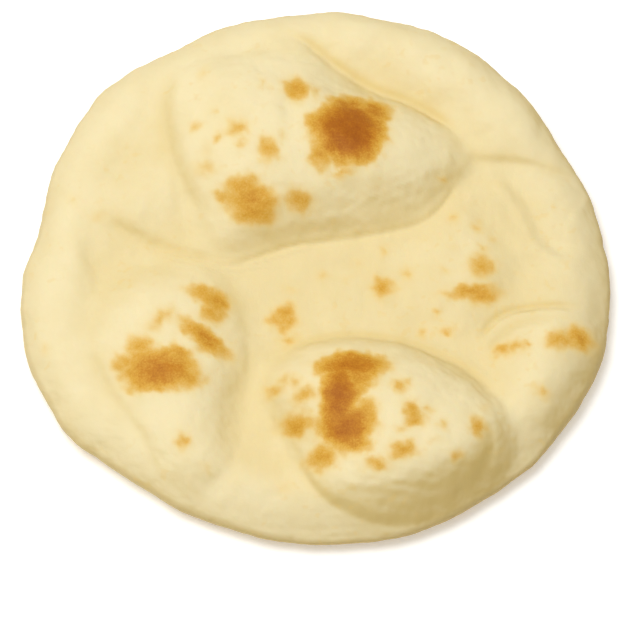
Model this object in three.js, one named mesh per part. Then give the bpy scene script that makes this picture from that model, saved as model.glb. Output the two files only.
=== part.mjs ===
// A round naan bread as one baked solid, in millimetres with +Z up.
// The origin is on the table, under the middle of the loaf; -Y is the front.
import * as THREE from "three";
import { mergeVertices } from "three/addons/utils/BufferGeometryUtils.js";

// Driving dimensions of the loaf.
const FLOOR_Z = 10; // top of the thin dough between the blisters
const EDGE_Z = 5.2; // height of the widest point of the rounded edge
const EDGE_W = 8; // how far in from the outline the edge is rounded
const RIM_RISE = 3.2; // how far the puffed rim stands above the floor
const RIM_CREST = 13; // distance of the rim's crest from the outline
const RIM_SPREAD = 9; // half width of the rim's swell
const CREASE_SHARE = 0.08; // depth of the pinch at a blister's foot, as a share of its height
const CREASE_W = 4; // half width of that pinch
const FLARE_OUT = 2.5; // how far outside its foot line a blister starts to rise
const FLARE_IN = 9; // how far inside its foot line that soft start ends

// How finely the solid is faceted.
const SPOKES = 100;
const TOP_RINGS = 23;
const EDGE_STEPS = 5;
const OUTLINE_STEPS = 180;
const BLISTER_STEPS = 72;

// The loaf's outline from above, anticlockwise from the right.
const LOAF_OUTLINE = [
  [90.4, 0], [86, 23], [76, 43.5], [62.5, 62], [45.5, 78], [23.5, 87], [0, 90],
  [-23, 86.5], [-45, 77], [-64, 64], [-77, 44], [-84, 22], [-90, 0], [-89.5, -24],
  [-80, -46], [-64, -63.5], [-44.5, -77], [-23, -86], [0, -90], [24, -88],
  [46, -79], [64.5, -64], [79.5, -46], [89, -24],
];

// Each blister has a foot line on the floor, the height of its top above the floor,
// and how far in from the foot it has risen to that height.
const BLISTERS = [
  {
    height: 15, shoulder: 28,
    foot: [
      [49, 39], [39, 53], [28, 61], [12, 69], [-4, 76], [-24, 75], [-38, 69], [-46, 57],
      [-46, 42], [-41, 28], [-38, 16], [-34, 7], [-24, 2], [-10, 7], [8, 11], [28, 16],
      [40, 23], [46, 32],
    ],
  },
  {
    height: 14, shoulder: 26,
    foot: [
      [-8, -27], [4, -22], [20, -21], [36, -26], [50, -36], [59, -47], [61, -58],
      [54, -69], [43, -76], [30, -80], [16, -80], [3, -74], [-6, -63], [-12, -50], [-14, -37],
    ],
  },
  {
    height: 9.5, shoulder: 21,
    foot: [
      [-32, 0], [-25, -6], [-21, -20], [-20, -38], [-23, -56], [-29, -69], [-38, -73],
      [-48, -64], [-58, -49], [-66, -35], [-68, -20], [-61, -5], [-46, 2],
    ],
  },
  {
    height: 4, shoulder: 12,
    foot: [[-64, 34], [-66, 22], [-60, 13], [-51, 10], [-46, 16], [-48, 29], [-52, 40], [-58, 43]],
  },
  {
    height: 3.6, shoulder: 13,
    foot: [
      [45, 25], [56, 19], [63, 6], [60, -8], [52, -17], [42, -22], [33, -17], [30, -3],
      [34, 11],
    ],
  },
  {
    height: 3.8, shoulder: 13,
    foot: [
      [51, -27], [55, -18], [64, -12], [74, -11], [82, -15], [85, -25], [81, -39],
      [74, -51], [65, -55], [57, -49], [52, -38],
    ],
  },
];

/** Points along a smooth closed line through the given corners. */
function closedLine(corners, steps) {
  const nodes = corners.map(([x, y]) => new THREE.Vector3(x, y, 0));
  return new THREE.CatmullRomCurve3(nodes, true, "centripetal").getPoints(steps);
}

/** Distance from (x, y) to a closed line: positive inside, negative outside. */
function distanceInside(x, y, line) {
  let nearest = Infinity;
  let inside = false;
  for (let i = 0; i + 1 < line.length; i++) {
    const a = line[i];
    const b = line[i + 1];
    const dx = b.x - a.x;
    const dy = b.y - a.y;
    const along = ((x - a.x) * dx + (y - a.y) * dy) / (dx * dx + dy * dy);
    const t = Math.min(1, Math.max(0, along));
    nearest = Math.min(nearest, Math.hypot(a.x + t * dx - x, a.y + t * dy - y));
    if (a.y > y !== b.y > y && x < a.x + ((y - a.y) / dy) * dx) inside = !inside;
  }
  return inside ? nearest : -nearest;
}

/** Radius of the loaf's outline in each direction, found on the smooth closed line. */
function outlineRadius(line) {
  const polar = line.slice(0, -1).map((p) => [Math.atan2(p.y, p.x), Math.hypot(p.x, p.y)]);
  polar.sort((a, b) => a[0] - b[0]);
  const first = polar[0];
  const last = polar[polar.length - 1];
  polar.unshift([last[0] - 2 * Math.PI, last[1]]);
  polar.push([first[0] + 2 * Math.PI, first[1]]);
  return (angle) => {
    const i = polar.findIndex((p) => p[0] > angle);
    const [a0, r0] = polar[i - 1];
    const [a1, r1] = polar[i];
    return THREE.MathUtils.mapLinear(angle, a0, a1, r0, r1);
  };
}

/** The half section of the plain disc: radius as a share of the outline's, and height. */
function discProfile(radius) {
  const flatEnd = radius - EDGE_W;
  const points = [new THREE.Vector2(0, 0), new THREE.Vector2(flatEnd / 2, 0)];
  for (let i = 0; i <= EDGE_STEPS; i++) {
    const a = (Math.PI / 2) * (i / EDGE_STEPS);
    const r = flatEnd + EDGE_W * Math.sin(a);
    points.push(new THREE.Vector2(r, EDGE_Z * (1 - Math.cos(a))));
  }
  for (let i = 1; i <= EDGE_STEPS; i++) {
    const a = (Math.PI / 2) * (i / EDGE_STEPS);
    const r = flatEnd + EDGE_W * Math.cos(a);
    points.push(new THREE.Vector2(r, EDGE_Z + (FLOOR_Z - EDGE_Z) * Math.sin(a)));
  }
  for (let i = TOP_RINGS - 1; i > 0; i--) {
    points.push(new THREE.Vector2((flatEnd * i) / TOP_RINGS, FLOOR_Z));
  }
  points.push(new THREE.Vector2(0, FLOOR_Z));
  return points;
}

/** How far the rim's swell lifts the top surface at this distance from the outline. */
function rimRise(distance) {
  return RIM_RISE * Math.exp(-(((distance - RIM_CREST) / RIM_SPREAD) ** 2));
}

/** How far one blister lifts the top surface, or pinches it at the blister's foot. */
function blisterRise(x, y, blister) {
  const inward = distanceInside(x, y, blister.line);
  const pinch = CREASE_SHARE * Math.exp(-((inward / CREASE_W) ** 2));
  const flare = THREE.MathUtils.smoothstep(inward, -FLARE_OUT, FLARE_IN);
  const t = THREE.MathUtils.clamp((inward + FLARE_OUT) / (blister.shoulder + FLARE_OUT), 0, 1);
  const dome = 1 - (1 - t) ** 2;
  return blister.height * (dome * flare - pinch);
}

function makeLoafGeometry() {
  const outline = closedLine(LOAF_OUTLINE, OUTLINE_STEPS);
  const radiusAt = outlineRadius(outline);
  const nominal = Math.max(...outline.map((p) => Math.hypot(p.x, p.y)));
  const blisters = BLISTERS.map((b) => ({ ...b, line: closedLine(b.foot, BLISTER_STEPS) }));

  const lathe = new THREE.LatheGeometry(discProfile(nominal), SPOKES);
  lathe.rotateX(Math.PI / 2);
  lathe.deleteAttribute("normal");
  lathe.deleteAttribute("uv");
  const geometry = mergeVertices(lathe);

  const p = geometry.getAttribute("position");
  for (let i = 0; i < p.count; i++) {
    const share = radiusAt(Math.atan2(p.getY(i), p.getX(i))) / nominal;
    const x = p.getX(i) * share;
    const y = p.getY(i) * share;
    const z = p.getZ(i);
    const onTop = Math.max(0, (z - EDGE_Z) / (FLOOR_Z - EDGE_Z));
    let rise = rimRise(distanceInside(x, y, outline));
    for (const blister of blisters) rise += blisterRise(x, y, blister);
    p.setXYZ(i, x, y, z + onTop * rise);
  }

  // The origin goes under the middle of the loaf's own box.
  geometry.computeBoundingBox();
  const middle = geometry.boundingBox.getCenter(new THREE.Vector3());
  geometry.translate(-middle.x, -middle.y, 0);
  geometry.computeVertexNormals();
  return geometry;
}

const bakedDough = new THREE.MeshStandardMaterial({
  color: new THREE.Color("#f1dfae"),
  roughness: 0.8,
  metalness: 0,
});

const loaf = new THREE.Mesh(makeLoafGeometry(), bakedDough);
loaf.name = "naan_bread";

const naan = new THREE.Group();
naan.add(loaf);

export default naan;
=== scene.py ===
"""A round naan bread lying on a pale studio floor.

The bread is one piece of baked dough. It starts as a ring that is filled with a fine grid and
wrapped round the bread's edge. Then it is puffed up into domes, pinched along its creases,
folded, wrinkled and roughened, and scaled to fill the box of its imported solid.
Lengths are in millimetres until the mesh is finished, and in metres after that.
"""

import logging
import math
from dataclasses import dataclass
from enum import Enum

import bpy
import numpy as np
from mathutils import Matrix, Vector, noise


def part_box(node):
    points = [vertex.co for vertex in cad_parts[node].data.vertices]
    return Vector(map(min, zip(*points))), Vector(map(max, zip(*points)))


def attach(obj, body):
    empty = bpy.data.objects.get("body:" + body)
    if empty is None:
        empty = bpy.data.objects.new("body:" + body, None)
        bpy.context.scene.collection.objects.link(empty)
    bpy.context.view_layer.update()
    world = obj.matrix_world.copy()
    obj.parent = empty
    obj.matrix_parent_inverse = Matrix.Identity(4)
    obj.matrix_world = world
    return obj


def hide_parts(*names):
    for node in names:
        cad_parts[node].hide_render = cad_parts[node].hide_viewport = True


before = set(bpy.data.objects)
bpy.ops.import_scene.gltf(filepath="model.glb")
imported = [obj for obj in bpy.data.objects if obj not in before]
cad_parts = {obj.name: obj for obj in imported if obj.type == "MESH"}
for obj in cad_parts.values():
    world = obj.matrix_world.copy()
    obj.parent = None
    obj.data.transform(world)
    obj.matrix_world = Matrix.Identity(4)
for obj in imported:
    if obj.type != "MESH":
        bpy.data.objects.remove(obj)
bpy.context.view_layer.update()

MM = 0.001
NODE = "naan_bread"
SKIN_GROUP = "skin"
LOG = logging.getLogger("naan")

Corners = tuple[tuple[float, float], ...]
Colour = tuple[float, float, float, float]


class Side(Enum):
    """Which way a line across the bread is closed."""

    RING = "ring"
    OPEN = "open"


# --------------------------------------------------------------------------- lines and shapes


def smooth(low: float, high: float, value: np.ndarray) -> np.ndarray:
    """A soft step from 0 at the low value to 1 at the high one."""
    t = np.clip((value - low) / (high - low), 0, 1)
    return t * t * (3 - 2 * t)


def bell(value: np.ndarray, width: float) -> np.ndarray:
    """A soft bump, 1 at zero and fading over the width."""
    return np.exp(-((value / width) ** 2))


def taper(share: np.ndarray, end: float) -> np.ndarray:
    """1 along a line, fading to 0 over the given share of it at both its ends."""
    return smooth(0, end, share) * smooth(0, end, 1 - share)


def wobble(x: np.ndarray, y: np.ndarray, size: float, seed: float) -> np.ndarray:
    """Smooth noise between about -1 and 1 whose lumps are about the given size across."""
    places = zip((x / size).tolist(), (y / size).tolist())
    return np.array([noise.noise(Vector((px, py, seed))) for px, py in places])


@dataclass(frozen=True)
class Line:
    """A smooth line drawn through a few corners on the bread's plan, in millimetres."""

    corners: Corners
    side: Side = Side.RING
    steps: int = 6

    def points(self) -> np.ndarray:
        """Cuts each span between two corners into even steps.

        Returns:
            The points along the line, as rows of x and y.
        """
        p = np.array(self.corners, float)
        if self.side is Side.RING:
            p = np.vstack([p[-1:], p, p[:2]])
        else:
            p = np.vstack([2 * p[0] - p[1], p, 2 * p[-1] - p[-2]])
        t = np.arange(self.steps)[:, None] / self.steps
        spans = []
        for a, b, c, d in zip(p[:-3], p[1:-2], p[2:-1], p[3:]):
            spans.append(
                0.5 * (2 * b + (c - a) * t + (2 * a - 5 * b + 4 * c - d) * t**2
                       + (3 * b - a - 3 * c + d) * t**3)
            )
        line = np.vstack(spans)
        return line if self.side is Side.RING else np.vstack([line, p[-2]])

    def depth(self, x: np.ndarray, y: np.ndarray) -> np.ndarray:
        """How far inside a ring each place lies, swelling smoothly to the ring's middle.

        Next to the line it is the true distance; on a round ring it is a perfect bowl.

        Args:
            x: places across the bread.
            y: places along the bread.

        Returns:
            Depths in millimetres, negative outside the ring.
        """
        pull = np.zeros_like(x)
        turn = np.zeros_like(x)
        line = self.points()
        for a, b in zip(line, np.roll(line, -1, axis=0)):
            length = math.hypot(*(b - a))
            ux, uy = (b - a) / length
            near = (a[0] - x) * ux + (a[1] - y) * uy
            off = (a[0] - x) * uy - (a[1] - y) * ux
            gap = np.maximum(np.abs(off), 1e-3)
            angle = np.arctan((near + length) / gap) - np.arctan(near / gap)
            pull += angle / gap
            turn += np.sign(off) * angle
        inside = np.abs(turn) > math.pi
        return np.where(inside, math.pi / pull, -math.pi / pull)

    def distance(self, x: np.ndarray, y: np.ndarray) -> tuple[np.ndarray, np.ndarray]:
        """Distance from the line, signed by its side, and the share of the way along it.

        Args:
            x: places across the bread.
            y: places along the bread.

        Returns:
            The distance in millimetres, positive on the line's left, and the share along it.
        """
        line = self.points()
        ends = np.roll(line, -1, axis=0) if self.side is Side.RING else line[1:]
        best = np.full_like(x, 1e9)
        signed = np.full_like(x, 1e9)
        share = np.zeros_like(x)
        for i, (a, b) in enumerate(zip(line, ends)):
            step = b - a
            t = ((x - a[0]) * step[0] + (y - a[1]) * step[1]) / (step @ step)
            t = np.clip(t, 0, 1)
            dx, dy = x - a[0] - t * step[0], y - a[1] - t * step[1]
            gap = np.hypot(dx, dy)
            closer = gap < best
            best = np.where(closer, gap, best)
            signed = np.where(closer, gap * np.sign(step[0] * dy - step[1] * dx), signed)
            share = np.where(closer, (i + t) / len(ends), share)
        return signed, share


def path(*corners: tuple[float, float]) -> Line:
    """An open line through the given corners."""
    return Line(corners, Side.OPEN)


@dataclass(frozen=True)
class Dome:
    """A blister: a dome of dough blown up by steam inside a foot line.

    Attributes:
        foot: the closed foot line.
        height: rise of the top above the bread's floor.
        crown: how flat the top is; 1 is a plain bowl.
        front: roundness of the wall that faces front; a small value gives a sharply rising wall.
        back: the same for the wall at the back.
        lean: how far the top leans to the front, as a share of the rise.
        soft: how softly the foot runs out into the floor, in millimetres.
    """

    foot: Line
    height: float
    crown: float = 1.2
    front: float = 0.6
    back: float = 0.8
    lean: float = 0.0
    soft: float = 1.0

    def rise(self, depth: np.ndarray, y: np.ndarray) -> np.ndarray:
        """How high the dome stands.

        Args:
            depth: how far inside the foot line each place lies.
            y: places along the bread.

        Returns:
            The dome's height at each place.
        """
        corners = np.array(self.foot.corners)
        middle, half = corners[:, 1].mean(), np.ptp(corners[:, 1]) / 2
        bowl = self.soft * np.log1p(np.exp(np.clip(depth / self.soft, -30, 30)))
        bowl = np.minimum(bowl / depth.max(), 1)
        power = self.front + (self.back - self.front) * smooth(-0.6, 0.6, (y - middle) / half)
        return self.height * (1 - (1 - bowl) ** self.crown) ** power


@dataclass(frozen=True)
class Oval:
    """An oval on the bread's plan: its middle, half its length and width, and its turn."""

    x: float
    y: float
    length: float
    width: float
    turn: float

    def shares(self, x: np.ndarray, y: np.ndarray) -> tuple[np.ndarray, np.ndarray]:
        """Measures places from the oval's middle.

        Args:
            x: places across the bread.
            y: places along the bread.

        Returns:
            The places along and across the oval, as shares of its length and width.
        """
        c, s = math.cos(math.radians(self.turn)), math.sin(math.radians(self.turn))
        u = ((x - self.x) * c + (y - self.y) * s) / self.length
        v = ((y - self.y) * c - (x - self.x) * s) / self.width
        return u, v


@dataclass(frozen=True)
class Swell(Oval):
    """A soft oval lump, or a hollow where the rise is below zero."""

    rise: float

    def at(self, x: np.ndarray, y: np.ndarray) -> np.ndarray:
        """The lump's height at each place."""
        u, v = self.shares(x, y)
        return self.rise * np.exp(-(u * u + v * v))


@dataclass(frozen=True)
class Mark(Oval):
    """A toasted mark: an oval patch where the dough touched the hot wall."""

    shade: float

    def toast(self, x: np.ndarray, y: np.ndarray) -> np.ndarray:
        """How toasted the skin is by this mark, fading out across its edge.

        Args:
            x: places across the bread.
            y: places along the bread.

        Returns:
            The toast at each place, from 0 to the mark's shade and a little over.
        """
        u, v = self.shares(x, y)
        size = math.sqrt(self.length * self.width)
        fade = min(3.0, 1.05 * size)
        inward = (1 - np.hypot(u, v)) * size
        heart = 0.55 * smooth(-fade, fade, inward) + 0.45 * smooth(0, 2.5 * fade, inward)
        halo = 0.07 * smooth(-2 * fade, 0, inward)
        return self.shade * (heart + halo)


@dataclass(frozen=True)
class Crease:
    """A groove pressed along an open line, with a raised lip beside it.

    Attributes:
        line: where the groove runs.
        depth: how deep it is in its middle; below zero it is a ridge.
        width: half its width.
        lip: height of the lip on the line's left.
        lip_gap: distance from the groove to the lip; below zero the lip is on the right.
        drop: how far the skin steps down on the line's left.
        reach: how far away the skin is level again.
        end: share of the line over which the groove fades out at each end.
    """

    line: Line
    depth: float
    width: float
    lip: float = 0.0
    lip_gap: float = 2.0
    drop: float = 0.0
    reach: float = 9.0
    end: float = 0.2

    def pinch(self, x: np.ndarray, y: np.ndarray) -> np.ndarray:
        """How tightly the skin is pinched in the groove, which sets the painted shade there.

        Args:
            x: places across the bread.
            y: places along the bread.

        Returns:
            The pinch at each place, from 0 to 1.
        """
        gap, share = self.line.distance(x, y)
        tightness = min(max(self.depth, 0), 1)
        return tightness * taper(share, self.end) * bell(gap, self.width + 0.4)

    def at(self, x: np.ndarray, y: np.ndarray) -> np.ndarray:
        """How far the groove, its lip and its step move the skin.

        Args:
            x: places across the bread.
            y: places along the bread.

        Returns:
            The change of height at each place.
        """
        gap, share = self.line.distance(x, y)
        lip = self.lip * bell(gap - self.lip_gap, self.width * 1.3)
        step = smooth(-0.5 * self.width, 2 * self.width, gap)
        fall = self.drop * step * np.exp(-np.clip(gap, 0, 60) / self.reach)
        return taper(share, self.end) * (lip - fall - self.depth * bell(gap, self.width))


@dataclass(frozen=True)
class Wrinkles:
    """A bundle of fine folds in the skin, side by side along an open line.

    Attributes:
        line: the middle of the bundle.
        reach: half the bundle's width.
        pitch: distance from one fold to the next.
        height: height of the folds.
        end: share of the line over which the folds fade out at each end.
    """

    line: Line
    reach: float
    pitch: float
    height: float
    end: float = 0.3

    def at(self, x: np.ndarray, y: np.ndarray) -> np.ndarray:
        """How far the folds move the skin.

        Args:
            x: places across the bread.
            y: places along the bread.

        Returns:
            The change of height at each place.
        """
        gap, share = self.line.distance(x, y)
        stray = 0.3 * np.sin(x / 11 + share * 5) + 0.2 * np.sin(y / 8 + share * 7)
        folds = np.cos(2 * math.pi * (gap / self.pitch + stray))
        return self.height * taper(share, self.end) * bell(gap, self.reach) * folds


@dataclass(frozen=True)
class Lumps:
    """Bumps all over the dough: their spacing, height and number of finer layers."""

    name: str
    size: float
    height: float
    detail: int


# --------------------------------------------------------------------------- the bread's plan

OUTLINE = Line(
    (
        (90.5, 0), (86.4, 23.1), (76.5, 43.8), (64, 63.5), (46.3, 79.4), (35.4, 85.2),
        (23.9, 88.4), (12.2, 91.4), (0, 91), (-23.5, 88.3), (-45.5, 77.7), (-64.9, 64.9),
        (-77.8, 44.4), (-81.9, 33.8), (-83.8, 22), (-86.2, 11.3), (-90.1, 0), (-88.9, -23.9),
        (-80.1, -46), (-72.8, -55.6), (-63.2, -62.7), (-44, -76.1), (-22.8, -85.1), (0, -89.6),
        (23.8, -87.3), (45.6, -78.3), (64.7, -64.2), (79.2, -45.9), (88.7, -23.9),
    ),
    steps=12,
)

DOMES = (
    # the low base of the upper blister
    Dome(
        Line((
            (49, 40), (46.5, 33), (41.5, 27), (37.5, 21.3), (32, 17.2), (23, 14.5), (9, 11.8),
            (-1.7, 10), (-11, 8), (-17, 5.7), (-24.5, 3), (-32, 4.7), (-39, 6.4), (-49.7, 10.4),
            (-58.6, 15.2), (-64, 21), (-64, 28), (-60, 37), (-55, 47), (-51, 58), (-46, 66),
            (-38, 72), (-26, 76), (-14, 78), (-5, 79), (1, 75.5), (9, 69.5), (18, 63.5),
            (29, 59), (39, 52), (45, 46),
        )),
        height=3.8, crown=1.4, front=0.85, back=1.0, soft=1.0,
    ),
    # the upper blister
    Dome(
        Line((
            (49, 40), (46, 34), (40, 28), (36, 23), (29, 18.5), (19, 15.5), (8, 13.5), (-4, 11),
            (-14, 8.5), (-24, 7), (-32, 10), (-37, 18), (-40, 26.5), (-43, 36), (-45.5, 46),
            (-46.5, 56), (-43, 66), (-35, 72), (-24, 74), (-12, 75), (-2, 75), (8, 69),
            (18, 62), (29, 58), (39, 51), (45, 45.5),
        )),
        height=11.5, crown=1.05, front=1.0, back=1.0, lean=0.1, soft=1.0,
    ),
    # the lower blister
    Dome(
        Line((
            (-15, -33), (-9.4, -28), (-4.8, -24.8), (2.9, -22.8), (10.6, -21.8), (19.8, -22.5),
            (29, -24.5), (38, -28.3), (46, -33), (52, -39), (57, -45), (59.5, -52), (60, -58.5),
            (57.7, -66), (54, -71), (49, -76), (41.4, -80.5), (33.7, -83), (24.5, -84.3),
            (16.2, -83.6), (9, -81.2), (2.3, -77), (-2.3, -71), (-6.3, -64), (-9.5, -56),
            (-14, -48), (-17, -40),
        )),
        height=14.4, crown=1.08, front=0.84, back=0.85, soft=1.2,
    ),
    # the left blister
    Dome(
        Line((
            (-32, 1), (-26, -4), (-22.3, -11), (-20.8, -20), (-20.2, -27), (-20.8, -37),
            (-22.3, -48), (-24, -58), (-28, -68), (-35, -74), (-42, -73), (-47, -68),
            (-52, -58), (-57, -50), (-63, -41.5), (-67.5, -31.5), (-68, -20), (-65, -9.5),
            (-61, -3.5), (-55.5, 0), (-47.8, 2.2), (-40, 2.5),
        )),
        height=9.0, crown=1.08, front=1.2, back=0.85, lean=0.05, soft=1.8,
    ),
    # the low shoulder on the right
    Dome(
        Line((
            (47, 30), (54, 21), (59, 12), (62, 4), (62.5, -4), (60.5, -10.3), (55, -15.4),
            (48, -20), (41, -20), (33, -14), (27, -3), (28, 8), (36, 18),
        )),
        height=3.6, crown=1.1, front=1.1, back=1.3, soft=1.6,
    ),
    # the low swell at the lower right
    Dome(
        Line((
            (50.5, -25.5), (53, -18.2), (57.5, -14.4), (62, -12.8), (66, -12.3), (75, -12.4),
            (84, -13), (94, -17), (98, -30), (92, -48), (80, -62), (70, -62), (61, -52),
            (54, -39),
        )),
        height=3.6, crown=1.2, front=1.2, back=0.85, soft=1.5,
    ),
    # the puffed band along the back
    Dome(
        Line((
            (-9, 82), (-1, 77.5), (9, 70.5), (18, 64.5), (29, 60), (39, 53), (46, 46),
            (51, 40), (60, 38.5), (70, 36.5), (80, 33), (94, 34), (88, 56), (70, 78), (44, 96),
            (12, 104), (-10, 98),
        )),
        height=3.2, crown=1.2, front=1.1, back=1.2, soft=2.5,
    ),
)

SWELLS = (
    Swell(-27, 43, 15, 15, 0, 1.5),
    Swell(12, 42, 26, 12, -32, 1.3),
    Swell(-8, 52, 3.5, 14, 0, -0.9),
    Swell(-51, 25, 11, 9, 60, 2.3),
    Swell(-42, 24, 2.5, 16, 10, -0.7),
    Swell(-69, 9, 3.8, 15, 3, -1.1),
    Swell(-50, 62, 4, 12, -20, -0.8),
    Swell(10, -6, 26, 10, -5, 0.5),
)

CREASES = (
    # the front of the upper blister
    Crease(path((-63.5, 19.5), (-61, 16), (-56, 12.8), (-50, 9.8), (-43, 6.9), (-35, 4.2),
                (-27, 2.8)), 0.55, 1.7, lip=0.25, lip_gap=3.6),
    Crease(path((-34, 2.6), (-24.5, 3.2), (-14, 6.6), (-6, 9.2), (9, 11.6), (23, 14.3), (32, 17),
                (38, 21.5), (42, 27.5), (45, 33)), 0.65, 0.7),
    Crease(path((-22, 3.0), (-17, 4.6), (-11, 6.8), (-5, 8.5), (1, 9.7)), -0.6, 0.55),
    # the left edge of the upper blister
    Crease(path((-42, 67), (-45.1, 63.2), (-46.6, 55), (-45.6, 46.2), (-43.5, 38.7), (-41.4, 32.3),
                (-39.2, 26.5), (-36.2, 22.4), (-33, 16)), 0.5, 2.3, lip=0.3, lip_gap=3.4),
    # the back and the front of the lower blister
    Crease(path((-18, -31.3), (-9.4, -26.6), (2.9, -22.8), (11, -21.8), (20, -22.5), (29, -24.5),
                (38, -28.3), (46, -33), (52, -39), (57, -45)), 0.8, 1.2, lip=0.2, lip_gap=2.6),
    Crease(path((-7, -62), (-3, -70), (2.3, -77), (9, -81.2), (16.2, -83.6), (24.5, -84.3),
                (33.7, -83), (41.4, -80.5), (49, -76)), 0.6, 1.0, lip=0.3, lip_gap=2.0),
    Crease(path((52, -54), (53.6, -60), (52.5, -65), (49.5, -70), (46.5, -74.5)),
           1.0, 2.0, lip=0.15, lip_gap=3.2),
    # beside the right tip of the upper blister, and behind it
    Crease(path((46, 41), (49, 39), (54, 37.8), (60, 37.4), (67, 36), (75, 33.5), (82, 32)),
           0.5, 1.3, lip=0.2),
    Crease(path((-12, 82), (-4, 78.5), (1, 74.5), (8, 69), (18, 62.5), (29, 58), (39, 51.5),
                (46, 44.5)), 1.0, 1.3),
    # the ridge beside the right hollow
    Crease(path((50, 33), (54.6, 21.5), (58, 16.5), (62, 11.3), (66, 6.8), (78, 4.2)), -0.5, 2.6),
    Crease(path((50, 37), (56, 31), (61, 25), (64, 19), (66.5, 12), (70, 7), (76, 4.5), (85, 6)),
           0.0, 2.4, drop=3.4, reach=9.0),
    # behind the lower right swell: two fine lines
    Crease(path((49, -26), (53, -18.2), (57.5, -14.4), (62, -12.8), (66, -12.3), (75, -12.5),
                (84, -13.2)), 0.9, 1.0, lip=0.4, lip_gap=-1.8),
    Crease(path((52, -28), (55.2, -24), (58, -20.8), (61.5, -18.8), (67, -17.9), (76, -18)),
           0.5, 0.9),
    # the right and the lower left of the left blister
    Crease(path((-30, -1), (-24, -10), (-21, -22), (-21, -35), (-23, -51)), 0.25, 1.7),
    Crease(path((-68.5, -28), (-67.8, -31), (-63, -41.5), (-57, -50), (-52.5, -57), (-49, -65),
                (-45, -73)), 0.35, 1.4, lip=0.2),
)

WRINKLES = (
    Wrinkles(path((4, -70), (15, -76), (28, -78), (40, -75), (50, -66)), 5.0, 3.0, 0.1),
    Wrinkles(path((-52, 10), (-42, 5), (-30, 1.5), (-18, 2.5), (-8, 5)), 3.2, 2.0, 0.3),
    Wrinkles(path((2, 16), (14, 21), (26, 27), (36, 34)), 6.0, 2.6, 0.08),
    Wrinkles(path((32, 15), (40, 18), (46, 25), (50, 33)), 2.6, 1.9, 0.13),
    Wrinkles(path((-40, -84), (-20, -86), (5, -87), (30, -86), (50, -79)), 4.0, 2.4, 0.06),
    Wrinkles(path((26, -24), (38, -29), (48, -36), (54, -46)), 3.0, 2.0, 0.07),
)

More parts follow.
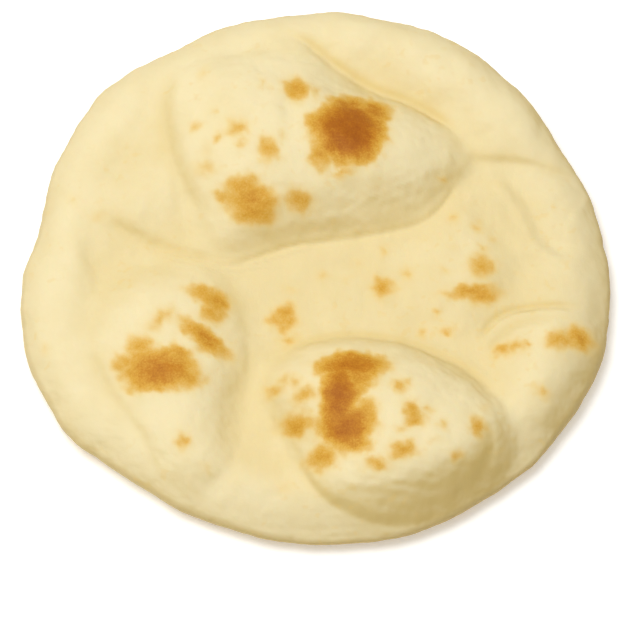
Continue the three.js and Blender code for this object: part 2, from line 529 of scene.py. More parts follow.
# each mark: its middle, half its length and width, its turn and its shade
MARKS = tuple(Mark(*row) for row in (
    (10.6, 42.2, 10.4, 11.1, 6, 0.84), (12.2, 41.2, 8.1, 8.5, 6, 0.97),
    (18.4, 50.8, 4.5, 4.6, 11, 0.66), (10.7, 51.7, 5.2, 4.1, 13, 0.66),
    (-0.3, 42.3, 2.3, 3.4, 0, 0.6), (1.7, 33.6, 2.9, 4.4, 0, 0.55),
    (11.2, 34.5, 5.2, 3.6, 2, 0.7), (7.9, 27.8, 3.2, 1.2, 19, 0.3),
    (22.8, 37.9, 1.1, 1.3, 9, 0.12), (-22.5, 23.9, 5.2, 3.2, -4, 0.42),
    (-19.2, 19.6, 7.8, 4.7, -2, 0.42), (-18.8, 16.2, 6.3, 3.5, -1, 0.42),
    (-28.3, 22, 2.6, 1.6, -11, 0.38), (-5.4, 20.2, 3.3, 2.6, 2, 0.47),
    (-5.2, 24.6, 1.5, 0.7, 2, 0.12), (-5.8, 56.7, 3.8, 4.6, 1, 0.45),
    (0.1, 55.6, 1.3, 2.9, 12, 0.2), (-16.4, 59.1, 1.3, 1.7, 1, 0.15),
    (-24.2, 41.8, 3, 2.5, -5, 0.35), (-29.7, 39.4, 1.8, 1.5, -10, 0.25),
    (-23.1, 36.3, 1.8, 1.6, -4, 0.22), (-36.8, 45.1, 1.8, 1.9, -13, 0.22),
    (-31, 48.9, 1, 1.2, -14, 0.15), (-14.4, 34.5, 2.6, 3, -2, 0.44),
    (-9.6, 39.8, 1.5, 1.9, 3, 0.15), (-33.3, 35.9, 2.3, 2.5, -14, 0.1),
    (-33.7, 31.1, 3.1, 1.7, -11, 0.2), (-34.6, 63.7, 1.8, 2.8, -12, 0.12),
    (-13.9, 56.3, 1.1, 1.6, 1, 0.08), (39.5, 29.4, 1.7, 1.2, 13, 0.22),
    (-47.6, -36.7, 10.6, 6.6, -3, 0.55), (-47.8, -37.9, 5.8, 3, -4, 0.8),
    (-53.7, -28.6, 4, 3, -5, 0.42), (-58.5, -33.7, 3.4, 2.2, -9, 0.42),
    (-41.5, -32.3, 3.1, 2.7, 2, 0.55), (-38.7, -39.8, 3.9, 3.2, 4, 0.48),
    (-48.6, -43, 7.5, 1.9, -5, 0.38), (-54.2, -40.5, 3.7, 2.9, -9, 0.45),
    (-35, -9.8, 4.3, 2.7, -25, 0.42), (-30.2, -11.9, 4, 3.5, -14, 0.52),
    (-31.5, -16.5, 3.1, 3.2, 9, 0.45), (-34, -25.3, 8.1, 3, -37, 0.52),
    (-33.8, -24.5, 3.7, 2.1, -36, 0.62), (-33.7, -29, 2.5, 2.1, 8, 0.35),
    (-47.4, -19.8, 4.7, 2.4, 41, 0.28), (-42.8, -25.1, 1.5, 1.7, 1, 0.08),
    (-40.1, -60.2, 2.2, 2.3, -2, 0.35), (-33.4, -68.3, 1.9, 1.7, 4, 0.12),
    (10.9, -36.3, 10.6, 5.3, -2, 0.68), (14, -41.6, 4, 5, -2, 0.52),
    (7.3, -47, 5.4, 10.7, -5, 0.85), (9.5, -57.9, 7.6, 6.4, -7, 0.78),
    (15.3, -55, 3.3, 4.8, -5, 0.5), (11.7, -63.3, 4.2, 3.3, -8, 0.65),
    (2.3, -56.8, 2.8, 3.2, -13, 0.4), (-9.8, -39.3, 2, 2.5, -17, 0.22),
    (-6.4, -40.7, 1.7, 2.1, -12, 0.22), (-12.4, -42.7, 2.9, 1.9, -19, 0.28),
    (-3.5, -46, 3.3, 2.7, 22, 0.38), (-5.7, -54.5, 5, 3.5, -16, 0.45),
    (1.9, -66.7, 4.5, 3.6, -14, 0.45), (25.8, -45, 2.2, 2.7, 1, 0.32),
    (28.3, -43.2, 1.6, 1.4, 2, 0.22), (29.2, -53.5, 2.2, 2.8, 4, 0.45),
    (30.5, -56.6, 2.7, 2.1, 3, 0.42), (33.9, -53.1, 1.6, 1.3, 4, 0.22),
    (26.5, -59.4, 2.5, 1.5, 0, 0.2), (39.2, -57.8, 1.5, 1.8, 6, 0.22),
    (26.7, -66.6, 3.5, 2.3, 1, 0.55), (18.9, -70.5, 3.3, 2.1, -4, 0.42),
    (49.3, -57.3, 1.9, 3, 11, 0.42), (43.2, -66.9, 1.9, 1.5, 9, 0.3),
    (36.3, -63.5, 2.2, 1.1, 2, 0.12), (19.3, -59, 1.9, 2, -3, 0.1),
    (51.6, -49.9, 1.6, 2, 15, 0.1), (-9.6, -73.6, 1.9, 2, -1, 0.1),
    (-9.2, -13.4, 2.3, 2.3, 1, 0.42), (-12.6, -16.8, 2.5, 1.9, 1, 0.33),
    (-7.9, -16.8, 2.5, 2.3, 1, 0.38), (-9.8, -18.8, 1.9, 2, 0, 0.33),
    (-10.3, -15.8, 3, 2.4, 0, 0.36), (-8, -23.1, 2.7, 1.8, -3, 0.28),
    (20.6, -6.2, 2.9, 3.3, 1, 0.45), (20.8, 6.4, 1.5, 1.7, -1, 0.2),
    (28, -1.1, 1.5, 1.9, -5, 0.22), (13.4, 2.5, 1.9, 1.5, 0, 0.1), (2.6, -1.9, 1.5, 1.7, 1, 0.18),
    (-7.9, -6.8, 1.9, 1.5, -1, 0.12), (51, 0.1, 3.6, 3.2, 4, 0.42),
    (48.4, -8.5, 7.8, 2.3, 2, 0.42), (51.4, -9.3, 4.2, 2.6, 2, 0.45),
    (42.7, 17.1, 1.8, 1.8, -3, 0.2), (49.6, 13.8, 1.6, 2.1, 4, 0.22),
    (54.5, 9.4, 1.1, 1.5, 8, 0.14), (51.3, 6.2, 1.6, 1.8, 4, 0.2), (40, -1.5, 1.9, 1.6, -2, 0.13),
    (37.2, -14.6, 1.2, 1.1, -4, 0.25), (40.2, -20.6, 2.4, 1.5, -3, 0.3),
    (32.9, -20.8, 1.3, 1.6, -1, 0.24), (43.2, 6.8, 1.5, 1.7, 0, 0.08),
    (57.1, -28, 2.4, 1.9, -7, 0.38), (61, -27.1, 2.6, 1.8, -8, 0.34),
    (64.8, -27.4, 1.3, 1.5, -9, 0.28), (74, -26.2, 3.4, 2.7, 4, 0.4),
    (80.8, -24.4, 3.9, 3.8, 11, 0.52), (76.7, -26.2, 1.9, 1.7, 9, 0.38),
    (69, -43.2, 2.6, 1.8, -33, 0.26), (73.6, 21.1, 0.8, 0.8, 1, 0.15),
    (-83.2, -27, 1.5, 1.5, -10, 0.12), (-66.9, 17.5, 2.3, 2.3, 1, 0.12),
    (-74.1, 23.1, 1.9, 2.1, -5, 0.08),
))

LUMPS = (
    Lumps("broad_lumps", 15.0, 1.6, 1),
    Lumps("small_lumps", 5.0, 0.6, 2),
    Lumps("skin_grain", 1.9, 0.22, 2),
)


# --------------------------------------------------------------------------- the bread


@dataclass(frozen=True)
class Tints:
    """Numbers that say where the skin is tinted, with its painted highlight and shade; lengths are
    in millimetres.

    Pairs give a size and its spacing, the ends of a soft step, or a least and an added strength.
    """

    stray: tuple[float, float] = (1.3, 3.4)
    fine_stray: tuple[float, float] = (0.8, 1.6)
    overlap: float = 0.2
    # painted shade on walls that face away from the lamp
    away: tuple[float, float] = (0.78, -0.62)
    level: tuple[float, float] = (0.94, 0.5)
    under: tuple[float, float] = (-1.0, -0.6)
    # painted highlight: the skin turns pale on the puffed rim and on the raised tops
    rim: tuple[float, float] = (24.0, 8.0)
    rim_share: float = 0.9
    puffed: float = 7.0
    # painted shade along the edge, heaviest on the side away from the lamp
    shade_side: float = -40.0
    low_shade: tuple[float, float] = (0.15, 0.75)
    low_height: tuple[float, float] = (6.5, 2.0)
    low_depth: tuple[float, float] = (20.0, 9.0)
    line_shade: tuple[float, float] = (0.45, 0.35)
    line_depth: tuple[float, float] = (2.4, 0.0)
    soft_shade: float = 0.18
    soft_depth: tuple[float, float] = (9.0, 0.0)
    wide_shade: float = 0.38
    wide_depth: tuple[float, float] = (16.0, 2.0)
    underside: tuple[float, float] = (3.0, 0.6)

    def wander(self, x: np.ndarray, y: np.ndarray, seed: float) -> np.ndarray:
        """How far the marks' edges wander.

        Args:
            x: places across the bread.
            y: places along the bread.
            seed: which of the fixed patterns is used.

        Returns:
            The wandering at each place, in millimetres.
        """
        broad = self.stray[0] * wobble(x, y, self.stray[1], seed)
        return broad + self.fine_stray[0] * wobble(x, y, self.fine_stray[1], seed + 1)

    def toasted(self, x: np.ndarray, y: np.ndarray) -> np.ndarray:
        """How toasted the skin is by all the marks.

        Args:
            x: places across the bread.
            y: places along the bread.

        Returns:
            The toast at each place, from 0 to about 1.
        """
        stray_x, stray_y = x + self.wander(x, y, 1.5), y + self.wander(x, y, 3.5)
        toasted = np.zeros_like(x)
        for mark in MARKS:
            here = mark.toast(stray_x, stray_y)
            added = self.overlap * np.minimum(toasted, here) * (1 - here)
            toasted = np.maximum(toasted, here) + added
        return toasted

    def painted_edge_shade(self, places: np.ndarray, rim: np.ndarray) -> np.ndarray:
        """How much painted shade lies along the bread's edge and under it, most on the side away
        from the lamp.

        Args:
            places: the skin's x, y and z.
            rim: depth of each place inside the outline.

        Returns:
            The painted shade at each place, from 0 to 1.
        """
        x, y, z = places
        # painted shade: low on the edge, a thin dark line at the outline, and across the rim on
        # the side away from the lamp
        angle = np.arctan2(y, x) - math.radians(self.shade_side)
        shady = np.clip(np.cos(angle), 0, 1)
        low = (self.low_shade[0] + self.low_shade[1] * shady) * smooth(*self.low_height, z)
        line = self.line_shade[0] + self.line_shade[1] * shady
        return np.max([
            low * smooth(*self.low_depth, rim), line * smooth(*self.line_depth, rim),
            self.soft_shade * smooth(*self.soft_depth, rim),
            self.wide_shade * shady * smooth(*self.wide_depth, rim),
        ], axis=0)


@dataclass
class Loaf:
    """The naan bread, as one closed mesh.

    Attributes:
        grid: cells along each side of the top's grid.
        under_grid: cells along each side of the underside's grid.
        radius: radius of the plain disc that is stretched to the outline.
        floor: height of the thin dough between the blisters.
        edge_z: height of the widest point of the rounded edge.
        edge_width: how far in from the outline the edge is rounded.
        edge_cells: length of grid on the edge's upper half, as a share of the edge's width.
        lower_cells: length of grid on its lower half, as a share of the upper half's.
        under_cells: length of grid under the bread, as a share of the foot ring.
        foot_ring: how far the top's skin runs on under the bread.
        bridge: width of the gap that is bridged between the foot ring and the underside.
        hang: how far below the table the underside hangs while it is bridged.
        rim_rise: rise of the puffed rim above the floor.
        rim_crest: distance of the rim's crest from the outline.
        rim_spread: half the width of the rim's rise.
        droop: how far the rim sinks towards the outline all round.
        far_droop: how much further it sinks on one side.
        droop_facing: the side where it sinks most, in degrees from the right.
        droop_width: how far in from the outline it starts to sink.
        skin_heights: heights between which the dough's lumps set in.
        skin_steps: steps in which they set in.
        tints: where the skin is tinted.
    """

    grid: int = 296
    under_grid: int = 64
    radius: float = 90.0
    floor: float = 10.0
    edge_z: float = 5.4
    edge_width: float = 8.0
    edge_cells: float = 1.25
    lower_cells: float = 0.55
    under_cells: float = 0.45
    foot_ring: float = 6.0
    bridge: float = 3.0
    hang: float = 40.0
    rim_rise: float = 3.0
    rim_crest: float = 12.0
    rim_spread: float = 9.0
    droop: float = 0.6
    far_droop: float = 2.2
    droop_facing: float = -62.0
    droop_width: float = 16.0
    skin_heights: tuple[float, float] = (0.5, 6.0)
    skin_steps: int = 10
    tints: Tints = Tints()

    def build(self) -> bpy.types.Object:
        """Models the bread.

        Returns:
            The finished piece.
        """
        top = self._filled_ring("naan", self.grid)
        under = self._filled_ring("underside", self.under_grid)
        self._wrap_top(top)
        self._place_underside(under)
        loaf = self._join(top, under)
        self._puff(loaf)
        self._roughen(loaf)
        self._settle(loaf)
        self._write_tints(loaf)
        return loaf

    def _filled_ring(self, name: str, cells: int) -> bpy.types.Object:
        """Adds a ring of unit radius and fills it with a square grid.

        Args:
            name: the piece's name.
            cells: cells along each side of the grid.

        Returns:
            The filled disc.
        """
        bpy.ops.object.select_all(action="DESELECT")
        bpy.ops.mesh.primitive_circle_add(vertices=4 * cells, radius=1.0, fill_type="NOTHING")
        disc = bpy.context.object
        disc.name = name
        bpy.ops.object.mode_set(mode="EDIT")
        bpy.ops.mesh.select_all(action="SELECT")
        bpy.ops.mesh.fill_grid(span=cells)
        bpy.ops.object.mode_set(mode="OBJECT")
        return disc

    @staticmethod
    def _places(piece: bpy.types.Object) -> np.ndarray:
        """Reads where the piece's vertices are.

        Args:
            piece: the piece.

        Returns:
            Rows of x, y and z.
        """
        flat = np.empty(len(piece.data.vertices) * 3)
        piece.data.vertices.foreach_get("co", flat)
        return flat.reshape(-1, 3)

    @staticmethod
    def _move(piece: bpy.types.Object, places: np.ndarray) -> None:
        """Moves the piece's vertices to the given rows of x, y, z."""
        piece.data.vertices.foreach_set("co", places.ravel())
        piece.data.update()

    @staticmethod
    def _store(piece: bpy.types.Object, name: str, values: np.ndarray) -> None:
        """Stores one number for each vertex on the mesh."""
        attribute = piece.data.attributes.new(name, "FLOAT", "POINT")
        attribute.data.foreach_set("value", values.astype(np.float32))

    def _outline_radius(self, angle: np.ndarray) -> np.ndarray:
        """Distance from the middle to the outline.

        Args:
            angle: directions from the middle, in radians.

        Returns:
            The distance in each direction.
        """
        line = OUTLINE.points()
        around = np.arctan2(line[:, 1], line[:, 0])
        order = np.argsort(around)
        around, reach = around[order], np.hypot(*line.T)[order]
        around = np.concatenate([around - 2 * math.pi, around, around + 2 * math.pi])
        return np.interp(angle, around, np.tile(reach, 3))

    def _wrap_top(self, disc: bpy.types.Object) -> None:
        """Wraps the top's disc over the edge and a little way under, level on top.

        Args:
            disc: the filled ring that becomes the top.
        """
        p = self._places(disc)
        angle = np.arctan2(p[:, 1], p[:, 0])
        reach = np.hypot(p[:, 0], p[:, 1])
        flat_end, quarter = self.radius - self.edge_width, self.edge_cells * self.edge_width
        lengths = np.array([
            flat_end, quarter, self.lower_cells * quarter, self.under_cells * self.foot_ring,
        ])
        stops = np.concatenate([[0], np.cumsum(lengths) / lengths.sum()])
        over = np.clip((reach - stops[1]) / (stops[2] - stops[1]), 0, 1) * math.pi / 2
        below = np.clip((reach - stops[2]) / (stops[3] - stops[2]), 0, 1) * math.pi / 2
        inward = np.clip((reach - stops[3]) / (stops[4] - stops[3]), 0, 1)
        out = np.interp(reach, stops[:2], [0, flat_end])
        out = out + self.edge_width * np.sin(over) * (reach > stops[1])
        out = np.where(reach > stops[2], flat_end + self.edge_width * np.cos(below), out)
        out = np.where(reach > stops[3], flat_end - self.foot_ring * inward, out)
        scale = self._outline_radius(angle) / self.radius * out
        level = np.where(reach > stops[2], self.edge_z * (1 - np.sin(below)), self.edge_z)
        level = level + (self.floor - self.edge_z) * np.cos(over) * (reach <= stops[2])
        self._move(disc, np.column_stack([np.cos(angle) * scale, np.sin(angle) * scale, level]))

    def _place_underside(self, disc: bpy.types.Object) -> None:
        """Sizes the underside's disc to meet the wrapped edge, and hangs it below.

        Two level rings at one height can be bridged the wrong way round, so the disc hangs
        well below the edge until the bridge is made.

        Args:
            disc: the filled ring that becomes the underside.
        """
        p = self._places(disc)
        angle = np.arctan2(p[:, 1], p[:, 0])
        inner = self.radius - self.edge_width - self.foot_ring - self.bridge
        scale = self._outline_radius(angle) / self.radius * inner * np.hypot(p[:, 0], p[:, 1])
        level = np.full(len(p), -self.hang)
        self._move(disc, np.column_stack([np.cos(angle) * scale, np.sin(angle) * scale, level]))

    def _join(self, top: bpy.types.Object, under: bpy.types.Object) -> bpy.types.Object:
        """Joins the two discs, bridges their rings and presses the underside level.

        Args:
            top: the wrapped top.
            under: the hanging underside.

        Returns:
            The closed bread, still without its domes.
        """
        bpy.ops.object.select_all(action="DESELECT")
        under.select_set(True)
        top.select_set(True)
        bpy.context.view_layer.objects.active = top
        bpy.ops.object.join()
        bpy.ops.object.mode_set(mode="EDIT")
        bpy.ops.mesh.select_all(action="DESELECT")
        bpy.ops.mesh.select_mode(type="EDGE")
        bpy.ops.mesh.select_non_manifold()
        bpy.ops.mesh.bridge_edge_loops()
        bpy.ops.mesh.select_all(action="SELECT")
        bpy.ops.mesh.normals_make_consistent(inside=False)
        bpy.ops.mesh.select_mode(type="VERT")
        bpy.ops.object.mode_set(mode="OBJECT")
        bpy.ops.object.shade_smooth()
        loaf = bpy.context.object
        p = self._places(loaf)
        p[:, 2] = np.maximum(p[:, 2], 0.0)
        self._move(loaf, p)
        return loaf

    def _puff(self, loaf: bpy.types.Object) -> None:
        """Raises the rim and the domes, and presses in the creases.

        Args:
            loaf: the closed bread.
        """
        p = self._places(loaf)
        x, y, z = p.T.copy()
        on_top = np.clip((z - self.edge_z) / (self.floor - self.edge_z), 0, 1)
        rim = OUTLINE.depth(x, y)
        rise = self.rim_rise * bell(rim - self.rim_crest, self.rim_spread)
        facing = np.cos(np.arctan2(y, x) - math.radians(self.droop_facing))
        facing = np.clip(facing, 0, 1) ** 1.5
        rise -= (self.droop + self.far_droop * facing) * smooth(self.droop_width, 0, rim)
        lean = np.zeros_like(x)
        for dome in DOMES:
            up = dome.rise(dome.foot.depth(x, y), y)
            rise += up
            lean -= dome.lean * up
        for shape in SWELLS + CREASES + WRINKLES:
            rise += shape.at(x, y)
        self._move(loaf, np.column_stack([x, y + lean * on_top, z + rise * on_top]))
        self._store(loaf, "rim", rim)

    def _roughen(self, loaf: bpy.types.Object) -> None:
        """Adds the dough's lumps, from broad to fine, fading out towards the underside.

        Args:
            loaf: the puffed bread.
        """
        bpy.ops.object.select_all(action="DESELECT")
        loaf.select_set(True)
        bpy.context.view_layer.objects.active = loaf
        self._modify(loaf, "SMOOTH", factor=0.5, iterations=1)
        group = loaf.vertex_groups.new(name=SKIN_GROUP)
        weight = smooth(*self.skin_heights, self._places(loaf)[:, 2])
        for level in range(1, self.skin_steps + 1):
            members = np.flatnonzero(np.round(weight * self.skin_steps) == level)
            group.add(members.tolist(), level / self.skin_steps, "REPLACE")
        for lumps in LUMPS:
            texture = bpy.data.textures.new(lumps.name, "CLOUDS")
            texture.noise_scale = lumps.size
            texture.noise_depth = lumps.detail
            self._modify(
                loaf, "DISPLACE", texture=texture, texture_coords="LOCAL",
                strength=lumps.height, mid_level=0.5, direction="NORMAL",
                vertex_group=SKIN_GROUP,
            )

    @staticmethod
    def _modify(piece: bpy.types.Object, kind: str, **values: object) -> None:
        """Adds a modifier and applies it.

        Args:
            piece: the piece to change.
            kind: the kind of modifier.
            **values: the modifier's settings.
        """
        modifier = piece.modifiers.new(kind.lower(), kind)
        for key, value in values.items():
            setattr(modifier, key, value)
        bpy.ops.object.modifier_apply(modifier=modifier.name)

    def _settle(self, loaf: bpy.types.Object) -> None:
        """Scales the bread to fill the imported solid's box, in metres, resting on the floor.

        Args:
            loaf: the roughened bread.
        """
        p = self._places(loaf)
        low, high = (np.array(corner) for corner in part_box(NODE))
        span = np.ptp(p, axis=0)
        self._move(loaf, low + (p - p.min(axis=0)) / span * (high - low))

    def _write_tints(self, loaf: bpy.types.Object) -> None:
        """Stores on the mesh how toasted the skin is, its painted highlight on puffed tops,
        and its painted shade on walls facing away from the lamp, in the creases and along the
        edge.

        Args:
            loaf: the settled bread.
        """
        tints, places = self.tints, self._places(loaf).T / MM
        x, y, z = places
        normals = np.empty(len(x) * 3, np.float32)
        loaf.data.vertex_normals.foreach_get("vector", normals)
        across, along, upright = normals.reshape(-1, 3).T
        # how far each wall faces away from the lamp, for its painted shade
        away = 0.5 + 0.5 * (tints.away[0] * across + tints.away[1] * along)
        rim = np.empty(len(x), np.float32)
        loaf.data.attributes["rim"].data.foreach_get("value", rim)
        pinched = np.max([crease.pinch(x, y) for crease in CREASES], axis=0)
        domed = smooth(self.floor, self.floor + tints.puffed, z)
        on_top = z > self.edge_z
        for name, values in (
            # painted shade in the creases
            ("pinched", pinched * on_top),
            ("toasted", tints.toasted(x, y) * on_top),
            # painted highlight on the raised tops and the puffed rim
            ("puffed", np.maximum(domed, tints.rim_share * smooth(*tints.rim, rim))),
            # painted shade on walls that face away from the lamp, kept off level skin and the
            # underside
            ("shade_away_from_lamp", away * smooth(*tints.level, upright) * smooth(*tints.under, upright)),
            # painted shade along the edge and under it
            ("painted_edge_shade", tints.painted_edge_shade(places, rim)),
            ("underside", smooth(*tints.underside, z)),
        ):
            self._store(loaf, name, values)


# --------------------------------------------------------------------------- finishes


@dataclass(frozen=True)
class Grain:
    """A pattern of noise in the skin: its spacing, finer layers, their strength and its own."""

    size: float
    detail: float
    rough: float
    strength: float = 1.0


class Bench:
    """A small helper that lays out the nodes of a material or of the room."""

    def __init__(self, owner: bpy.types.Material | bpy.types.World) -> None:
        """Clears the owner's nodes and keeps its tree."""
        owner.use_nodes = True
        self.tree = owner.node_tree
        self.tree.nodes.clear()

    def add(self, kind: str, inputs: dict[int, object] | None = None,
            **values: object) -> bpy.types.Node:
        """Adds a node.

        Args:
            kind: the kind of node.
            inputs: its inputs by number.
            **values: its settings, and its inputs by name, with a low line for each space.

        Returns:
            The node.
        """
        node = self.tree.nodes.new("ShaderNode" + kind)
        for key, value in values.items():
            if hasattr(node, key):
                setattr(node, key, value)
            else:
                self.feed(node, key.replace("_", " "), value)
        for place, value in (inputs or {}).items():
            self.feed(node, place, value)
        return node

    def feed(self, node: bpy.types.Node, name: str | int, value: object) -> None:
        """Links a socket to a node's input, or sets the input's value.

        Args:
            node: the node.
            name: the input's name or number.
            value: the socket or the value.
        """
        if isinstance(value, bpy.types.NodeSocket):
            self.tree.links.new(value, node.inputs[name])
        else:
            node.inputs[name].default_value = value

    def math(self, operation: str, a: object, b: object) -> bpy.types.NodeSocket:
        """A sum, product or other operation on two numbers."""
        return self.add("Math", {0: a, 1: b}, operation=operation).outputs[0]

    def mix(self, share: object, a: object, b: object) -> bpy.types.NodeSocket:
        """A blend of two colours, by the share of the second."""
        return self.add("Mix", {0: share, 6: a, 7: b}, data_type="RGBA").outputs[2]

    def noise(self, where: object, grain: Grain) -> bpy.types.NodeSocket:
        """A pattern of noise read at the given places, from 0 to 1."""
        return self.add("TexNoise", Scale=1 / (grain.size * MM), Detail=grain.detail,
                        Roughness=grain.rough, Vector=where).outputs["Fac"]

    def sway(self, where: object, grain: Grain) -> bpy.types.NodeSocket:
        """Noise about zero, times the pattern's strength."""
        centred = self.math("SUBTRACT", self.noise(where, grain), 0.5)
        return self.math("MULTIPLY", centred, grain.strength)

    def step(self, value: object, low: float, high: float, to_low: float = 0.0,
             to_high: float = 1.0) -> bpy.types.NodeSocket:
        """A soft step of the value, from to_low at the low end to to_high at the high end."""
        return self.add("MapRange", interpolation_type="SMOOTHSTEP", Value=value, From_Min=low,
                        From_Max=high, To_Min=to_low, To_Max=to_high).outputs[0]

    def ramp(self, value: object, stops: tuple[tuple[float, Colour], ...]) -> bpy.types.NodeSocket:
        """Reads a colour off a scale.

        Args:
            value: the place on the scale.
            stops: the scale's places and their colours.

        Returns:
            The colour.
        """
        node = self.add("ValToRGB", Fac=value)
        band = node.color_ramp
        while len(band.elements) < len(stops):
            band.elements.new(0.5)
        for element, (place, tone) in zip(band.elements, stops):
            element.position = place
            element.color = tone
        return node.outputs["Color"]

    def attribute(self, name: str) -> bpy.types.NodeSocket:
        """A number stored on the mesh."""
        return self.add("Attribute", attribute_name=name).outputs["Fac"]


def linear(channel: float) -> float:
    """One channel from 0 to 255 on a screen, in the renderer's linear light."""
    v = channel / 255
    return v / 12.92 if v <= 0.04045 else ((v + 0.055) / 1.055) ** 2.4


def colour(red: int, green: int, blue: int) -> Colour:
    """A colour given as 0 to 255 on a screen, in the renderer's linear light."""
    return linear(red), linear(green), linear(blue), 1.0


@dataclass(frozen=True)
class BakedDough:
    """The bread's skin: pale cream dough, golden in places, with toasted marks and painted
    highlight and shade.
    """

    # pale is a painted highlight for the raised tops and the rim
    pale: Colour = colour(236, 222, 178)
    cream: Colour = colour(229, 211, 159)
    # shaded is painted shade, for walls facing away from the lamp and for the creases
    shaded: Colour = colour(213, 184, 104)
    # the colour of the painted shade along the edge
    edge_shade_colour: Colour = colour(191, 169, 116)
    straw: Colour = colour(230, 197, 118)
    golden: Colour = colour(214, 163, 60)
    toast: Colour = colour(194, 129, 28)
    brown: Colour = colour(173, 101, 10)
    scorched: Colour = colour(155, 82, 4)
    browning: tuple[float, ...] = (0.06, 0.26, 0.47, 0.7, 0.95)
    browning_scale: float = 0.8
    clouds: Grain = Grain(14, 3, 0.55, 1.6)
    ragged: Grain = Grain(2.2, 3, 0.6, 1.1)
    fine_ragged: Grain = Grain(0.6, 2, 0.6, 1.5)
    raggedness: float = 0.36
    ragged_from: tuple[float, float] = (0.05, 0.55)
    visible: tuple[float, float] = (-0.03, 0.22)
    specks: Grain = Grain(2.8, 1, 0.4)
    speck_ends: tuple[float, float] = (0.58, 0.74)
    speck_areas: Grain = Grain(22, 2, 0.5)
    speck_area_ends: tuple[float, float] = (0.48, 0.6)
    speck_share: float = 0.25
    # share of painted shade in the creases
    crease_share: float = 0.45
    mottling: Grain = Grain(9, 3, 0.6)
    mottling_ends: tuple[float, ...] = (0.42, 0.7, 0.25, 1.0)
    pores: Grain = Grain(1.3, 4, 0.6)
    fine_pores: Grain = Grain(0.5, 2, 0.6)
    pore_depth: float = 0.15 * MM
    pore_strength: float = 0.35
    roughness: float = 0.62
    shine: float = 0.25
    glow_share: float = 0.12
    glow_depth: float = 3 * MM
    glow_reach: tuple[float, float, float] = (1.0, 0.6, 0.25)

    def _bare(self, b: Bench, where: bpy.types.NodeSocket) -> bpy.types.NodeSocket:
        """Lays out the colour of the skin without its marks, with its painted highlight and shade.

        Args:
            b: the bench the nodes are laid out on.
            where: places on the piece.

        Returns:
            The colour.
        """
        # painted highlight: pale on the raised tops and the rim, with cloudy tone in it
        puffed = b.math("ADD", b.attribute("puffed"), b.sway(where, self.clouds))
        base = b.mix(puffed, self.cream, self.pale)
        # painted shade on walls that face away from the lamp
        base = b.mix(b.attribute("shade_away_from_lamp"), base, self.shaded)
        # painted shade darkens the creases
        creased = b.math("MULTIPLY", b.attribute("pinched"), self.crease_share)
        base = b.mix(creased, base, self.shaded)
        # painted shade along the edge
        base = b.mix(b.attribute("painted_edge_shade"), base, self.edge_shade_colour)
        specks = b.step(b.noise(where, self.specks), *self.speck_ends)
        areas = b.step(b.noise(where, self.speck_areas), *self.speck_area_ends)
        speckled = b.math("MULTIPLY", specks, areas)
        base = b.mix(b.math("MULTIPLY", speckled, self.speck_share), base, self.straw)
        mottled = b.step(b.noise(where, self.mottling), *self.mottling_ends)
        return b.mix(b.math("MULTIPLY", mottled, b.attribute("underside")), base, self.golden)

    def _marked(self, b: Bench, where: bpy.types.NodeSocket,
                bare: bpy.types.NodeSocket) -> bpy.types.NodeSocket:
        """Lays the toasted marks over the bare skin's colour.

        Args:
            b: the bench the nodes are laid out on.
            where: places on the piece.
            bare: the bare skin's colour.

        Returns:
            The colour.
        """
        toasted = b.attribute("toasted")
        ragged = b.math("ADD", b.sway(where, self.ragged), b.sway(where, self.fine_ragged))
        ragged = b.math("MULTIPLY", ragged, b.step(toasted, *self.ragged_from))
        toast = b.math("ADD", toasted, b.math("MULTIPLY", ragged, self.raggedness))
        tones = (self.straw, self.golden, self.toast, self.brown, self.scorched)
        scale = b.math("MULTIPLY", toast, self.browning_scale)
        browned = b.ramp(scale, tuple(zip(self.browning, tones)))
        return b.mix(b.step(toast, *self.visible), bare, browned)

    def make(self) -> bpy.types.Material:
        """Builds the finish.

        Returns:
            The material.
        """
        material = bpy.data.materials.new("baked_dough")
        b = Bench(material)
        where = b.add("TexCoord").outputs["Object"]
        skin = self._marked(b, where, self._bare(b, where))
        height = b.math("ADD", b.noise(where, self.pores), b.noise(where, self.fine_pores))
        bump = b.add("Bump", Strength=self.pore_strength, Distance=self.pore_depth,
                     Height=height)
        shader = b.add(
            "BsdfPrincipled", Base_Color=skin, Roughness=self.roughness,
            Subsurface_Weight=self.glow_share, Subsurface_Scale=self.glow_depth,
            Subsurface_Radius=self.glow_reach, Specular_IOR_Level=self.shine,
            Normal=bump.outputs[0],
        )
        b.add("OutputMaterial", Surface=shader.outputs[0])
        return material


@dataclass(frozen=True)
class StudioPaper:
    """The pale paper that the bread lies on, faintly lit from below."""

    white: Colour = (0.95, 0.95, 0.955, 1.0)
    glow: float = 0.24
    roughness: float = 0.9

    def make(self) -> bpy.types.Material:
        """Builds the finish.

        Returns:
            The material.
        """
        material = bpy.data.materials.new("studio_paper")
        b = Bench(material)
        shader = b.add("BsdfPrincipled", Base_Color=self.white, Roughness=self.roughness,
                       Emission_Color=self.white, Emission_Strength=self.glow)
        b.add("OutputMaterial", Surface=shader.outputs[0])
        return material


# --------------------------------------------------------------------------- the studio


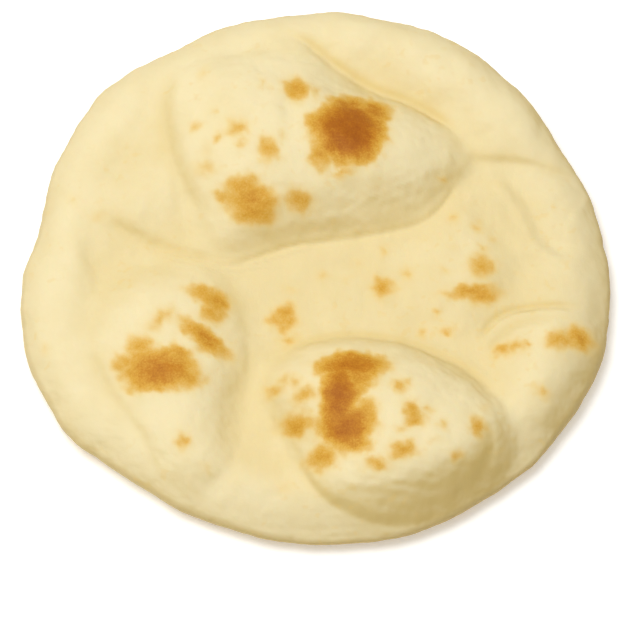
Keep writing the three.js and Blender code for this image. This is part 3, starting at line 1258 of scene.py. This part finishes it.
@dataclass
class Studio:
    """A pale floor, soft light from the left and a camera that looks down on the bread."""

    elevation: float = 65.0
    distance: float = 4.0
    sensor: float = 36.0
    far_clip: float = 20.0
    frame_width: float = 0.1969
    aim: tuple[float, float, float] = (0.0014, -0.0122, 0.0)
    floor_size: float = 6.0
    lamp_azimuth: float = 158.0
    lamp_height: float = 72.0
    lamp_reach: float = 1.5
    lamp_size: float = 1.1
    lamp_power: float = 14.7
    room_tone: Colour = (1.0, 0.975, 0.91, 1.0)
    zenith: float = 0.8
    backdrop: float = 0.9
    backdrop_top: float = 0.12

    def build(self) -> None:
        """Makes the floor, the lights and the camera."""
        self._floor()
        self._room()
        self._lamp()
        self._camera()
        bpy.context.scene.view_settings.view_transform = "Standard"

    def _floor(self) -> None:
        """Lays the paper floor."""
        bpy.ops.object.select_all(action="DESELECT")
        bpy.ops.mesh.primitive_plane_add(size=self.floor_size, location=(0, 0, 0))
        floor = bpy.context.object
        floor.name = "paper_floor"
        floor.data.materials.append(StudioPaper().make())

    def _room(self) -> None:
        """Fills the room with even light from overhead, and brightens its low band."""
        world = bpy.data.worlds.new("studio")
        bpy.context.scene.world = world
        b = Bench(world)
        split = b.add("SeparateXYZ", Vector=b.add("TexCoord").outputs["Generated"])
        up = split.outputs["Z"]
        overhead = b.add("MapRange", Value=up, To_Max=self.zenith)
        band = b.add("MapRange", Value=up, From_Max=self.backdrop_top, To_Min=self.backdrop,
                     To_Max=0.0)
        strength = b.math("ADD", overhead.outputs[0], band.outputs[0])
        light = b.add("Background", Color=self.room_tone, Strength=strength)
        b.add("OutputWorld", Surface=light.outputs[0])

    def _lamp(self) -> None:
        """Hangs one large soft lamp."""
        azimuth, height = math.radians(self.lamp_azimuth), math.radians(self.lamp_height)
        spot = Vector((
            math.cos(azimuth) * math.cos(height), math.sin(azimuth) * math.cos(height),
            math.sin(height),
        )) * self.lamp_reach
        lamp = bpy.data.lights.new("softbox", "AREA")
        lamp.shape = "DISK"
        lamp.size = self.lamp_size
        lamp.energy = self.lamp_power
        self._hang("softbox", lamp, spot, spot)

    def _camera(self) -> None:
        """Sets up the camera."""
        camera = bpy.data.cameras.new("camera")
        camera.sensor_width = self.sensor
        camera.lens = self.sensor * self.distance / self.frame_width
        camera.clip_end = self.far_clip
        up = math.radians(self.elevation)
        away = Vector((0, -math.cos(up), math.sin(up)))
        place = Vector(self.aim) + away * self.distance
        bpy.context.scene.camera = self._hang("camera", camera, place, away)

    @staticmethod
    def _hang(name: str, data: bpy.types.ID, place: Vector, away: Vector) -> bpy.types.Object:
        """Puts a lamp or a camera in its place.

        Args:
            name: the holder's name.
            data: the lamp or the camera.
            place: where it hangs.
            away: the direction its back faces.

        Returns:
            The object that holds it.
        """
        holder = bpy.data.objects.new(name, data)
        holder.location = place
        holder.rotation_euler = away.to_track_quat("Z", "Y").to_euler()
        bpy.context.scene.collection.objects.link(holder)
        return holder


def main() -> None:
    """Builds the studio and the bread, and reports each piece."""
    logging.basicConfig(level=logging.INFO, format="%(message)s")
    Studio().build()
    loaf = Loaf().build()
    loaf.data.materials.clear()
    loaf.data.materials.append(BakedDough().make())
    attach(loaf, "root")
    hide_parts(NODE)
    LOG.info("%s: %d faces", loaf.name, len(loaf.data.polygons))


if __name__ == "__main__":
    main()
